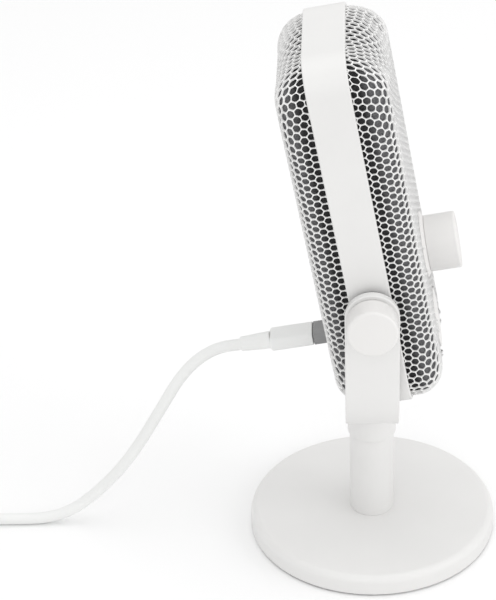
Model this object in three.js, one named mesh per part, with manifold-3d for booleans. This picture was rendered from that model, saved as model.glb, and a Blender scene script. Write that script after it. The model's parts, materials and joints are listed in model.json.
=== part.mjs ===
// Desktop microphone on a round stand. Millimetres, +Z up, front towards -Y.
// The origin is on the desk, under the middle of the round base.
import * as THREE from 'three'
import { mergeVertices } from 'three/addons/utils/BufferGeometryUtils.js'
import Module from 'manifold-3d'

const wasm = await Module()
wasm.setup()

// ---------------------------------------------------------------- driving dimensions
const GAP = 0.3 // clearance between pieces that touch

// round base and pole
const BASE_RADIUS = 53
const BASE_TOP = 9.6
const BASE_EDGE = 4.5
const BASE_UNDERSIDE = 1.5
const BASE_CHAMFER = 0.8
const PAD_RADIUS = BASE_RADIUS - 3
const PAD_HEIGHT = 2.4
const PAD_RECESS = PAD_HEIGHT - BASE_UNDERSIDE + GAP
const POLE_RADIUS = 9.5
const POLE_TOP = 48
const POLE_BORE = 4.4
const BOLT_RADIUS = 4
const BOLT_HEAD_RADIUS = 6.5
const BOLT_HEAD_HEIGHT = 2.6
const BOLT_WASHER = 1
const BOLT_REACH = 12
const STUD_RADIUS = 6
const STUD_HEIGHT = 10
const STUD_SINK = 8
const COLLAR_WASHER = 0.8
const COLLAR_SETBACK = 0.5

// yoke
const BOSS_RADIUS = 10.3
const YOKE_UNDERSIDE = 65.4
const YOKE_THICKNESS = 3.3
const YOKE_BEND = 30
const YOKE_CLEARANCE = 2.7 // between the head's side and the arm
const YOKE_WIDTH = 22
const YOKE_SCREW_RADIUS = 2.5
const YOKE_SCREW_HEAD = 4.8
const YOKE_SCREW_LENGTH = 9
const YOKE_SCREW_CONE = 2.3 // depth of its countersunk head
const YOKE_SCREW_SUNK = 0.2
const HEX_SOCKET = { radius: 1.7, depth: 1.6 }
const PIVOT_HEIGHT = 130
const PIVOT_HOLE = 4.6
const LEAN = THREE.MathUtils.degToRad(9.75)

// head, measured from the pivot in its own upright frame
const HEAD_TOP = 109
const HEAD_BOTTOM = -51
const HEAD_HALF_WIDTH = 34
const YOKE_HALF_SPAN = HEAD_HALF_WIDTH + YOKE_CLEARANCE + YOKE_THICKNESS
const HEAD_CORNER = 14
const BAND_WIDTH = 17
const BAND_WALL = 2.4
const GRILLE_STEP = 1.5 // how far the grilles sit below the band
const FRONT_DEPTH = 22.9
const REAR_DEPTH = 21.4
const FRONT_TOP_ROUND = 18
const REAR_TOP_ROUND = 16
const GRILLE_BOTTOM_ROUND = 13
const GRILLE_SIDE_ROUND = 7
const GRILLE_WALL = 1
const LINER_WALL = 1.5

// pivot knobs and their hardware
const KNOB_RADIUS = 10.2
const KNOB_THICKNESS = 10.9
const KNOB_ROUND = 1.6
const KNOB_CHAMFER = 0.4
const KNOB_SETBACK = 0.5
const KNOB_BORE_DEPTH = 6
const KNOB_STUD_RADIUS = 2.5
const KNOB_STUD_END = HEAD_HALF_WIDTH - 10
const INSERT_RADIUS = 4
const INSERT_LENGTH = 8
const FRICTION_RADIUS = 9.5

// dial and button on the front
const DIAL_HEIGHT = 7.3
const DIAL_RADIUS = 11.6
const DIAL_LENGTH = 12.6
const DIAL_ROUND = 1.4
const DIAL_FACE_RADIUS = DIAL_RADIUS - 2
const DIAL_FACE_THICKNESS = 0.8
const DIAL_FACE_SUNK = 0.2
const DIAL_SHAFT_RADIUS = 3
const DIAL_BORE_DEPTH = 9
const BEZEL_RADIUS = DIAL_RADIUS + 2.4
const BEZEL_PROUD = 1.4
const BEZEL_HUB = BEZEL_RADIUS - 2
const BEZEL_HUB_DEPTH = 2.4
const BEZEL_CHAMFER = 0.5
const BUTTON_HEIGHT = -28.4
const BUTTON_RADIUS = 12.2
const BUTTON_PROUD = 0.2
const BUTTON_THICKNESS = 2.2
const BUTTON_TRAVEL = 0.6
const BUTTON_CHAMFER = 0.5
const SURROUND_WALL = 0.7
const SURROUND_GAP = 0.5
const SURROUND_DEPTH = 3.4
const PLUNGER_RADIUS = 2

// inside the head
const CHASSIS_THICKNESS = 2.4
const BOARD_THICKNESS = 1.6
const MAIN_BOARD_PLACE = 8.6
const MAIN_BOARD = { width: 50, top: 30, bottom: -40 }
const POST_RADIUS = 3
const POSTS = { x: 21, top: 26, bottom: -36 }
const BOARD_SCREW = { radius: 1.2, head: 2.4, headHeight: 1.4, length: 7 }
const CONTROL_BOARD_PLACE = -7.9
const CONTROL_BOARD = { width: 28, top: 18, bottom: -40 }
const REST = { radius: 2.2, inset: 3 } // posts that the control board rests on
const CHASSIS_WINDOW = { halfWidth: 24, bottom: 36, top: 48, corner: 4 }
const PIVOT_BOSS = { width: 12, height: 14, wall: 1.5 }
const ENCODER = { side: 12.5, depth: 6.5 }
const SWITCH = { side: 6.2, depth: 4 }
const CAPSULE_HEIGHT = 68
const CAPSULE_RADIUS = 8.6
const CAPSULE_DEPTH = 7
const CAPSULE_MOUNT_RADIUS = 13
const CRADLE_WALL = 2.2
const CRADLE_DEPTH = 9

// sockets and plug on the back
const USB_HEIGHT = -27.2
const SOCKET = { width: 8.9, height: 3.2, wall: 0.4, length: 9 }
const JACK_HEIGHT = -11
const JACK = { radius: 3.4, bore: 1.8, length: 10 }
const PORT_PLATE = { width: 15, top: -4.5, bottom: -33.5, corner: 2.5, thickness: 1.4, proud: 0.5 }
const PLUG_SHELL = { width: 8.3, height: 2.5 }
const PLUG_WIDTH = 12
const PLUG_THICKNESS = 6.2
const PLUG_CORNER = 2
const PLUG_COLLAR_END = 29.4
const PLUG_OVERMOULD_END = 48
const RELIEF_END = 60.4
const RELIEF_START_RADIUS = 3.7
const RELIEF_END_RADIUS = 3.1
const RELIEF_CHAMFER = 0.5

// lead: its run from the plug's end to the desk, each point as how far it goes across (X) and out (Y),
// and how high it is as a share of the height of the plug's end
const CORD_RADIUS = 2.5
const CORD_RUN = [
  [0, 2.6, 0.994], [0, 6.1, 0.988], [0, 11.1, 0.969], [0, 17.1, 0.927], [0, 22.6, 0.867], [0, 27.7, 0.79],
  [0, 32.8, 0.691], [0, 37.9, 0.589], [0, 43.1, 0.486], [0, 48.5, 0.388], [0, 54.4, 0.295],
  [0, 60.9, 0.208], [-0.2, 68, 0.129], [-0.6, 75.6, 0.061], [-1, 83.1, 0.021], [-1.5, 91.1, 0.003],
  [-1.9, 100.1, 0], [-2, 110.1, 0], [-2, 121.1, 0], [-2, 129.6, 0],
]
const COIL_PLACE = [-39.5, 151.1] // across and out from the plug's end
const COIL_MIDDLE_RADIUS = 30
const COIL_COLUMNS = 4
const COIL_LAYERS = 2
const COIL_EDGE = 2
const TIE_WALL = 0.7
const TIE_WIDTH = 12
// from the coil's centre to the computer's plug
const TAIL_RUN = [[13, 41.3, 4.8], [8, 45.2, 4.2], [1.5, 48.3, 3.8], [-5, 49.2, 3.8]]
const FAR_PLUG = { body: 22, width: 15.5, height: 7.6, shell: 12.5, shellWidth: 12, shellHeight: 4.5,
  corner: 2, shellCorner: 0.5 }

// ---------------------------------------------------------------- materials
const finish = (color, roughness, metalness = 0) =>
  new THREE.MeshStandardMaterial({ color, roughness, metalness })
const WHITE_PAINT = finish(0xe9e8e6, 0.5)
const WHITE_PLASTIC = finish(0xe6e5e3, 0.5)
const WHITE_LEAD = finish(0xe4e5e3, 0.55)
const GREY_PLASTIC = finish(0x8d8d8d, 0.6)
const DARK_FOAM = finish(0x2a2a2c, 0.95)
const DARK_RUBBER = finish(0x303032, 0.9)
const BLACK_PLASTIC = finish(0x222224, 0.6)
const BOARD_GREEN = finish(0x1d4a34, 0.6)
const STEEL = finish(0xb8babd, 0.35, 1)
const BRASS = finish(0xb5964f, 0.35, 1)
const NYLON = finish(0xd9d6cc, 0.6)

// ---------------------------------------------------------------- solid helpers
function toSolid(geometry) {
  const source = geometry.clone()
  for (const name of ['normal', 'uv']) source.deleteAttribute(name)
  const merged = mergeVertices(source, 1e-4)
  return new wasm.Manifold(new wasm.Mesh({
    numProp: 3,
    vertProperties: new Float32Array(merged.attributes.position.array),
    triVerts: new Uint32Array(merged.index.array),
  }))
}

function toGeometry(solid) {
  const mesh = solid.getMesh()
  const geometry = new THREE.BufferGeometry()
  geometry.setAttribute('position', new THREE.BufferAttribute(new Float32Array(mesh.vertProperties), 3))
  geometry.setIndex(new THREE.BufferAttribute(new Uint32Array(mesh.triVerts), 1))
  return geometry
}

const cut = (body, ...tools) => tools.reduce((rest, tool) => rest.subtract(tool), body)
const join = (body, ...others) => others.reduce((sum, other) => sum.add(other), body)

// Turned piece about +Z from [radius, height] points that run round the profile counter-clockwise.
function turned(points, segments = 24) {
  const outline = points.map(([radius, height]) => new THREE.Vector2(radius, height))
  const hollow = points.every(([radius]) => radius > 0)
  if (hollow) outline.push(outline[0].clone())
  return toSolid(new THREE.LatheGeometry(outline, segments).rotateX(Math.PI / 2))
}

const rod = (radius, bottom, top, segments = 18) =>
  turned([[0, bottom], [radius, bottom], [radius, top], [0, top]], segments)
const ring = (inner, outer, bottom, top, segments = 18) =>
  turned([[inner, bottom], [outer, bottom], [outer, top], [inner, top]], segments)

// Points of a quarter circle round `centre`, from angle `start` to `end` in degrees.
function arc(centre, radius, start, end, steps = 5) {
  return Array.from({ length: steps + 1 }, (_, step) => {
    const angle = THREE.MathUtils.degToRad(start + (end - start) * step / steps)
    return [centre[0] + radius * Math.cos(angle), centre[1] + radius * Math.sin(angle)]
  })
}

// Closed outline of a rectangle with its own radius at each corner, from its lower right corner.
function cornered(low, high, radii, steps = 6) {
  const [lowerRight, upperRight, upperLeft, lowerLeft] = radii
  return [
    ...arc([high[0] - lowerRight, low[1] + lowerRight], lowerRight, -90, 0, steps),
    ...arc([high[0] - upperRight, high[1] - upperRight], upperRight, 0, 90, steps),
    ...arc([low[0] + upperLeft, high[1] - upperLeft], upperLeft, 90, 180, steps),
    ...arc([low[0] + lowerLeft, low[1] + lowerLeft], lowerLeft, 180, 270, steps),
  ]
}

const rounded = (low, high, radius, steps = 6) => cornered(low, high, Array(4).fill(radius), steps)

// Straight prism from an outline of [a, b] points, from `start` to `end` along its axis.
function prism(outline, start, end) {
  const shape = new THREE.Shape(outline.map(([a, b]) => new THREE.Vector2(a, b)))
  const options = { depth: end - start, bevelEnabled: false }
  return new THREE.ExtrudeGeometry(shape, options).translate(0, 0, start)
}
// outline in X and Y, length along Z
const prismZ = (outline, start, end) => toSolid(prism(outline, start, end))
// outline in X and Z, length along Y
const prismY = (outline, start, end) => toSolid(prism(outline, -end, -start).rotateX(Math.PI / 2))
// outline in Y and Z, length along X
const prismX = (outline, start, end) =>
  toSolid(prism(outline, start, end).rotateX(Math.PI / 2).rotateZ(Math.PI / 2))

const boxed = (low, high) =>
  prismZ([[low[0], low[1]], [high[0], low[1]], [high[0], high[1]], [low[0], high[1]]], low[2], high[2])

// Turn a piece made along +Z so that it points along another axis, then move it.
const alongX = solid => solid.rotate([0, 90, 0])
const alongY = solid => solid.rotate([-90, 0, 0])

// ---------------------------------------------------------------- scene
const group = new THREE.Group()
const head = new THREE.Group()
head.position.z = PIVOT_HEIGHT
head.rotation.x = -LEAN
group.add(head)

function add(name, solid, material, parent = group) {
  const mesh = new THREE.Mesh(toGeometry(solid), material)
  mesh.name = name
  parent.add(mesh)
}

// ---------------------------------------------------------------- stand
function buildBase() {
  const boltTop = PAD_HEIGHT + BOLT_HEAD_HEIGHT + BOLT_WASHER + 2 * GAP
  const edge = arc([BASE_RADIUS - BASE_EDGE, BASE_TOP - BASE_EDGE], BASE_EDGE, 0, 90, 4)
  const plate = turned([
    [PAD_RADIUS + GAP, BASE_UNDERSIDE], [BASE_RADIUS - BASE_CHAMFER, BASE_UNDERSIDE],
    [BASE_RADIUS, BASE_UNDERSIDE + BASE_CHAMFER], ...edge,
    [BOLT_RADIUS + GAP, BASE_TOP], [BOLT_RADIUS + GAP, boltTop],
    [BOLT_HEAD_RADIUS + GAP, boltTop], [BOLT_HEAD_RADIUS + GAP, PAD_HEIGHT + GAP],
    [PAD_RADIUS + GAP, BASE_UNDERSIDE + PAD_RECESS],
  ], 44)
  add('base_plate', plate, WHITE_PAINT)
  add('foot_pad', rod(PAD_RADIUS, 0, PAD_HEIGHT, 44), DARK_RUBBER)

  const headBottom = PAD_HEIGHT + GAP
  const headTop = headBottom + BOLT_HEAD_HEIGHT
  const washerTop = headTop + GAP + BOLT_WASHER
  const boltEnd = BASE_TOP + BOLT_REACH
  add('base_bolt', join(rod(BOLT_HEAD_RADIUS, headBottom, headTop, 6),
    rod(BOLT_RADIUS, headTop - GAP, boltEnd)), STEEL)
  add('base_washer', ring(BOLT_RADIUS + GAP, BOLT_HEAD_RADIUS - GAP, headTop + GAP, washerTop - GAP), STEEL)
}

function buildPole() {
  const foot = BASE_TOP + GAP
  const studFoot = POLE_TOP - STUD_SINK
  const tube = cut(rod(POLE_RADIUS, foot, POLE_TOP, 28),
    rod(POLE_BORE, foot - 1, foot + BOLT_REACH + 1),
    rod(STUD_RADIUS + GAP, studFoot - GAP, POLE_TOP + 1))
  add('pole', tube, WHITE_PAINT)
  add('thread_stud', rod(STUD_RADIUS, studFoot, POLE_TOP + STUD_HEIGHT), STEEL)
  const washerFoot = POLE_TOP + GAP
  add('collar_washer', ring(STUD_RADIUS + GAP, POLE_RADIUS - COLLAR_SETBACK, washerFoot,
    washerFoot + COLLAR_WASHER), DARK_RUBBER)
  const bossFoot = washerFoot + COLLAR_WASHER + GAP
  const bossTop = YOKE_UNDERSIDE - GAP
  const boss = cut(rod(BOSS_RADIUS, bossFoot, bossTop, 28),
    rod(STUD_RADIUS + GAP, bossFoot - 1, POLE_TOP + STUD_HEIGHT + GAP),
    rod(YOKE_SCREW_RADIUS + GAP, bossTop - YOKE_SCREW_LENGTH, bossTop + 1))
  add('yoke_boss', boss, WHITE_PAINT)
}

// Outline of the U strap in X and Z: outer wall down the left, round the bends, and back inside.
function yokeOutline(armTop) {
  const outer = YOKE_HALF_SPAN - YOKE_BEND
  const inner = YOKE_BEND - YOKE_THICKNESS
  const bendHeight = YOKE_UNDERSIDE + YOKE_BEND
  return [
    [-YOKE_HALF_SPAN, armTop],
    ...arc([-outer, bendHeight], YOKE_BEND, 180, 270, 7),
    ...arc([outer, bendHeight], YOKE_BEND, 270, 360, 7),
    [YOKE_HALF_SPAN, armTop],
    [YOKE_HALF_SPAN - YOKE_THICKNESS, armTop],
    ...arc([outer, bendHeight], inner, 0, -90, 7),
    ...arc([-outer, bendHeight], inner, -90, -180, 7),
    [-YOKE_HALF_SPAN + YOKE_THICKNESS, armTop],
  ]
}

function buildYoke() {
  const half = YOKE_WIDTH / 2
  const strap = prismY(yokeOutline(PIVOT_HEIGHT + half), -half, half)
  const armEnd = arc([0, PIVOT_HEIGHT], half, 0, 180, 12)
  const sides = prismX([...armEnd, [-half, 0], [half, 0]], -YOKE_HALF_SPAN - 1, YOKE_HALF_SPAN + 1)
  const pivotHole = alongX(rod(PIVOT_HOLE, -YOKE_HALF_SPAN - 1, YOKE_HALF_SPAN + 1))
  const floor = YOKE_UNDERSIDE + YOKE_THICKNESS
  const screwHole = turned([[0, YOKE_UNDERSIDE - 1], [YOKE_SCREW_RADIUS + GAP, YOKE_UNDERSIDE - 1],
    [YOKE_SCREW_RADIUS + GAP, floor - YOKE_SCREW_CONE], [YOKE_SCREW_HEAD + GAP, floor],
    [YOKE_SCREW_HEAD + GAP, floor + 1], [0, floor + 1]])
  add('yoke', cut(strap.intersect(sides), pivotHole.translate([0, 0, PIVOT_HEIGHT]), screwHole),
    WHITE_PAINT)

  const screwTop = floor - YOKE_SCREW_SUNK
  const screw = turned([[0, floor - YOKE_SCREW_LENGTH], [YOKE_SCREW_RADIUS, floor - YOKE_SCREW_LENGTH],
    [YOKE_SCREW_RADIUS, floor - YOKE_SCREW_CONE], [YOKE_SCREW_HEAD, screwTop], [0, screwTop]])
  const hexSocket = rod(HEX_SOCKET.radius, screwTop - HEX_SOCKET.depth, floor + 1, 6)
  add('yoke_screw', cut(screw, hexSocket), STEEL)

  const bush = ring(KNOB_STUD_RADIUS + GAP, PIVOT_HOLE - GAP, 0, YOKE_THICKNESS)
  for (const [side, name] of [[-1, 'left'], [1, 'right']]) {
    const start = side < 0 ? -YOKE_HALF_SPAN : YOKE_HALF_SPAN - YOKE_THICKNESS
    add(`${name}_arm_bush`, alongX(bush).translate([start, 0, PIVOT_HEIGHT]), NYLON)
  }
}

// ---------------------------------------------------------------- head shells
function headOutline(inset, steps = 5) {
  const radius = HEAD_CORNER - inset
  return rounded([-HEAD_HALF_WIDTH + inset, HEAD_BOTTOM + inset],
    [HEAD_HALF_WIDTH - inset, HEAD_TOP - inset], radius, steps)
}

function buildBand() {
  const half = BAND_WIDTH / 2
  const studHoles = alongX(rod(KNOB_STUD_RADIUS + 2 * GAP, -HEAD_HALF_WIDTH - 1, HEAD_HALF_WIDTH + 1))
  add('band_frame', cut(prismY(headOutline(0), -half, half),
    prismY(headOutline(BAND_WALL), -half - 1, half + 1), studHoles), WHITE_PAINT, head)
}

// Solid of a pillow-shaped half shell, `inset` mm inside its outer surface. side is -1 in front, 1 behind.
function pillow(side, inset, start) {
  const depth = (side < 0 ? FRONT_DEPTH : REAR_DEPTH) - inset
  const topRound = (side < 0 ? FRONT_TOP_ROUND : REAR_TOP_ROUND) - inset
  const bottomRound = GRILLE_BOTTOM_ROUND - inset
  const sideRound = GRILLE_SIDE_ROUND - inset
  const sunk = GRILLE_STEP + inset
  const top = HEAD_TOP - sunk
  const bottom = HEAD_BOTTOM + sunk
  const halfWidth = HEAD_HALF_WIDTH - sunk
  const front = prismY(headOutline(sunk), -depth, depth)
  const profile = prismX(sideView(depth, bottom, top, bottomRound, topRound), -halfWidth - 1, halfWidth + 1)
  const plan = prismZ(rounded([-halfWidth, -depth], [halfWidth, depth], sideRound, 4), bottom - 1, top + 1)
  const keep = side < 0 ? boxed([-50, -50, -100], [50, -start, 150])
    : boxed([-50, start, -100], [50, 50, 150])
  return front.intersect(profile).intersect(plan).intersect(keep)
}

// Side view of a pillow, the same towards the front and the back.
function sideView(depth, bottom, top, bottomRound, topRound) {
  return cornered([-depth, bottom], [depth, top], [bottomRound, topRound, topRound, bottomRound], 6)
}

function buildGrilles() {
  const edge = BAND_WIDTH / 2 + GAP
  const dialHole = alongY(rod(BEZEL_HUB + GAP, -50, 0)).translate([0, 0, DIAL_HEIGHT])
  const buttonHole = alongY(rod(BUTTON_RADIUS + SURROUND_GAP + SURROUND_WALL + GAP, -50, 0))
    .translate([0, 0, BUTTON_HEIGHT])
  const plate = PORT_PLATE
  const portHole = prismY(rounded([-plate.width / 2 - GAP, plate.bottom - GAP],
    [plate.width / 2 + GAP, plate.top + GAP], plate.corner + GAP, 4), 0, 50)
  const linerInset = GRILLE_WALL + GAP
  const shell = (side, inset, wall) =>
    pillow(side, inset, edge).subtract(pillow(side, inset + wall, edge - 1))
  add('front_grille', cut(shell(-1, 0, GRILLE_WALL), dialHole, buttonHole), WHITE_PAINT, head)
  add('rear_grille', cut(shell(1, 0, GRILLE_WALL), portHole), WHITE_PAINT, head)
  add('front_liner', cut(shell(-1, linerInset, LINER_WALL), dialHole, buttonHole), DARK_FOAM, head)
  add('rear_liner', cut(shell(1, linerInset, LINER_WALL), portHole), DARK_FOAM, head)
}

// ---------------------------------------------------------------- inside the head
function buildChassis() {
  const half = CHASSIS_THICKNESS / 2
  const plate = prismY(headOutline(BAND_WALL + GAP), -half, half)
  const opening = CHASSIS_WINDOW
  const window = prismY(rounded([-opening.halfWidth, opening.bottom], [opening.halfWidth, opening.top],
    opening.corner, 4), -half - 1, half + 1)
  const cradleOuter = CAPSULE_MOUNT_RADIUS + GAP + CRADLE_WALL
  const cradle = alongY(ring(CAPSULE_MOUNT_RADIUS + GAP, cradleOuter, -CRADLE_DEPTH, -half + 0.1, 24))
    .translate([0, 0, CAPSULE_HEIGHT])
  const capsuleWindow = alongY(rod(CAPSULE_MOUNT_RADIUS + GAP, -half - 1, half + 1, 24))
    .translate([0, 0, CAPSULE_HEIGHT])
  const posts = postPlaces().map(([x, z]) =>
    alongY(rod(POST_RADIUS, half - 0.1, MAIN_BOARD_PLACE - GAP, 12)).translate([x, 0, z]))
  const screwHoles = postPlaces().map(([x, z]) =>
    alongY(rod(BOARD_SCREW.radius + GAP, -half - 1, MAIN_BOARD_PLACE, 10)).translate([x, 0, z]))
  const bossOuter = HEAD_HALF_WIDTH - BAND_WALL - GAP
  const bossInner = bossOuter - INSERT_LENGTH - PIVOT_BOSS.wall
  const [deep, tall] = [PIVOT_BOSS.width / 2, PIVOT_BOSS.height / 2]
  const bosses = [boxed([-bossOuter, -deep, -tall], [-bossInner, deep, tall]),
    boxed([bossInner, -deep, -tall], [bossOuter, deep, tall])]
  const restPlaces = [CONTROL_BOARD.bottom + REST.inset, CONTROL_BOARD.top - REST.inset]
    .flatMap(z => [-1, 1].map(side => [side * (CONTROL_BOARD.width / 2 - REST.inset), z]))
  const rests = restPlaces.map(([x, z]) => alongY(rod(REST.radius,
    CONTROL_BOARD_PLACE + BOARD_THICKNESS + GAP, -half + 0.1, 10)).translate([x, 0, z]))
  const insertHoles = alongX(rod(INSERT_RADIUS + GAP, -HEAD_HALF_WIDTH, HEAD_HALF_WIDTH))
  const keepPlate = boxed([-bossInner + 3, -20, -5], [bossInner - 3, 20, 5])
  const body = cut(join(plate, cradle, ...posts, ...rests, ...bosses), window, capsuleWindow, ...screwHoles,
    insertHoles.subtract(keepPlate))
  add('chassis', body, BLACK_PLASTIC, head)
}

function postPlaces() {
  return [[-POSTS.x, POSTS.bottom], [POSTS.x, POSTS.bottom], [-POSTS.x, POSTS.top], [POSTS.x, POSTS.top]]
}

function buildBoards() {
  const board = MAIN_BOARD
  const boardEnd = MAIN_BOARD_PLACE + BOARD_THICKNESS
  const holes = postPlaces().map(([x, z]) =>
    alongY(rod(BOARD_SCREW.radius + GAP, MAIN_BOARD_PLACE - 1, boardEnd + 1, 10)).translate([x, 0, z]))
  add('main_board', cut(boxed([-board.width / 2, MAIN_BOARD_PLACE, board.bottom],
    [board.width / 2, boardEnd, board.top]), ...holes), BOARD_GREEN, head)
  postPlaces().forEach(([x, z], index) => {
    const headStart = boardEnd + GAP
    const screw = join(rod(BOARD_SCREW.radius, headStart - BOARD_SCREW.length, headStart + 0.1, 12),
      rod(BOARD_SCREW.head, headStart, headStart + BOARD_SCREW.headHeight, 12))
    add(`board_screw_${index + 1}`, alongY(screw).translate([x, 0, z]), STEEL, head)
  })

  const control = CONTROL_BOARD
  add('control_board', boxed([-control.width / 2, CONTROL_BOARD_PLACE, control.bottom],
    [control.width / 2, CONTROL_BOARD_PLACE + BOARD_THICKNESS, control.top]), BOARD_GREEN, head)
  const encoderEnd = CONTROL_BOARD_PLACE - GAP
  const encoderStart = encoderEnd - ENCODER.depth
  const side = ENCODER.side / 2
  const encoder = cut(
    boxed([-side, encoderStart, DIAL_HEIGHT - side], [side, encoderEnd, DIAL_HEIGHT + side]),
    alongY(rod(DIAL_SHAFT_RADIUS + GAP, encoderStart - 1, encoderEnd - 2)).translate([0, 0, DIAL_HEIGHT]))
  add('encoder', encoder, STEEL, head)
  const switchSide = SWITCH.side / 2
  add('mute_switch', boxed([-switchSide, encoderEnd - SWITCH.depth, BUTTON_HEIGHT - switchSide],
    [switchSide, encoderEnd, BUTTON_HEIGHT + switchSide]), BLACK_PLASTIC, head)
}

function buildCapsule() {
  const front = -CRADLE_DEPTH - 3
  const place = solid => alongY(solid).translate([0, 0, CAPSULE_HEIGHT])
  add('capsule', place(rod(CAPSULE_RADIUS, front, front + CAPSULE_DEPTH)), BRASS, head)
  add('capsule_mount', place(ring(CAPSULE_RADIUS + GAP, CAPSULE_MOUNT_RADIUS, front + 1,
    front + CAPSULE_DEPTH - 1)), DARK_RUBBER, head)
}

// ---------------------------------------------------------------- dial, button, knobs
function buildDial() {
  const bezelFace = -FRONT_DEPTH - BEZEL_PROUD
  const place = solid => alongY(solid).translate([0, 0, DIAL_HEIGHT])
  const bore = DIAL_SHAFT_RADIUS + 1
  const flangeBack = -FRONT_DEPTH - GAP
  const hubBack = -FRONT_DEPTH + BEZEL_HUB_DEPTH
  add('dial_bezel', place(turned([[bore, bezelFace], [BEZEL_RADIUS - BEZEL_CHAMFER, bezelFace],
    [BEZEL_RADIUS, bezelFace + BEZEL_CHAMFER], [BEZEL_RADIUS, flangeBack], [BEZEL_HUB, flangeBack],
    [BEZEL_HUB, hubBack], [bore, hubBack]], 32)), WHITE_PLASTIC, head)

  const back = bezelFace - GAP
  const end = back - DIAL_LENGTH
  const boreEnd = back - DIAL_BORE_DEPTH
  const faceSeat = end + DIAL_FACE_THICKNESS + GAP
  const boreRadius = DIAL_SHAFT_RADIUS + GAP
  add('dial_cap', place(turned([
    [0, faceSeat], [DIAL_FACE_RADIUS + GAP, faceSeat], [DIAL_FACE_RADIUS + GAP, end],
    ...arc([DIAL_RADIUS - DIAL_ROUND, end + DIAL_ROUND], DIAL_ROUND, -90, 0, 3),
    [DIAL_RADIUS, back], [boreRadius, back], [boreRadius, boreEnd], [0, boreEnd],
  ], 32)), WHITE_PLASTIC, head)
  add('dial_face', place(rod(DIAL_FACE_RADIUS, end + DIAL_FACE_SUNK, end + DIAL_FACE_THICKNESS, 32)),
    WHITE_PLASTIC, head)
  add('dial_shaft', place(rod(DIAL_SHAFT_RADIUS, boreEnd + GAP, CONTROL_BOARD_PLACE - ENCODER.depth + 3)),
    STEEL, head)
}

function buildButton() {
  const place = solid => alongY(solid).translate([0, 0, BUTTON_HEIGHT])
  const face = -FRONT_DEPTH - BUTTON_PROUD
  const back = face + BUTTON_THICKNESS
  const surroundInner = BUTTON_RADIUS + SURROUND_GAP
  add('button_surround', place(ring(surroundInner, surroundInner + SURROUND_WALL, -FRONT_DEPTH,
    -FRONT_DEPTH + SURROUND_DEPTH, 30)), DARK_RUBBER, head)
  add('mute_cap', place(turned([[0, face], [BUTTON_RADIUS - BUTTON_CHAMFER, face],
    [BUTTON_RADIUS, face + BUTTON_CHAMFER], [BUTTON_RADIUS, back], [0, back]], 30)), WHITE_PLASTIC, head)
  const switchFace = CONTROL_BOARD_PLACE - GAP - SWITCH.depth
  add('mute_plunger', place(rod(PLUNGER_RADIUS, back + GAP, switchFace - BUTTON_TRAVEL - GAP, 16)),
    BLACK_PLASTIC, head)
}

function buildPivots() {
  const washerStart = HEAD_HALF_WIDTH + GAP
  const washerEnd = YOKE_HALF_SPAN - YOKE_THICKNESS - GAP
  const knobStart = YOKE_HALF_SPAN + KNOB_SETBACK
  const knobEnd = knobStart + KNOB_THICKNESS
  const insertEnd = HEAD_HALF_WIDTH - BAND_WALL - 2 * GAP
  const boreRadius = KNOB_STUD_RADIUS + GAP
  const boreEnd = knobStart + KNOB_BORE_DEPTH
  const knob = turned([[0, boreEnd], [boreRadius, boreEnd], [boreRadius, knobStart],
    [KNOB_RADIUS - KNOB_CHAMFER, knobStart], [KNOB_RADIUS, knobStart + KNOB_CHAMFER],
    ...arc([KNOB_RADIUS - KNOB_ROUND, knobEnd - KNOB_ROUND], KNOB_ROUND, 0, 90, 3), [0, knobEnd]], 28)
  const stud = rod(KNOB_STUD_RADIUS, KNOB_STUD_END, boreEnd - GAP, 14)
  const washer = ring(KNOB_STUD_RADIUS + 2 * GAP, FRICTION_RADIUS, washerStart, washerEnd, 20)
  const insert = ring(KNOB_STUD_RADIUS + GAP, INSERT_RADIUS, insertEnd - INSERT_LENGTH, insertEnd)
  for (const [side, name] of [[-1, 'left'], [1, 'right']]) {
    const place = solid => solid.rotate([0, side * 90, 0])
    add(`${name}_friction_washer`, place(washer), DARK_RUBBER, head)
    add(`${name}_pivot_insert`, place(insert), BRASS, head)
    add(`${name}_knob`, place(knob), WHITE_PLASTIC, head)
    add(`${name}_knob_stud`, place(stud), STEEL, head)
  }
}

// ---------------------------------------------------------------- sockets and plug
const slab = (width, height, radius, start, end, steps = 4) =>
  prismY(rounded([-width / 2, USB_HEIGHT - height / 2], [width / 2, USB_HEIGHT + height / 2],
    radius, steps), start, end)

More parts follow.
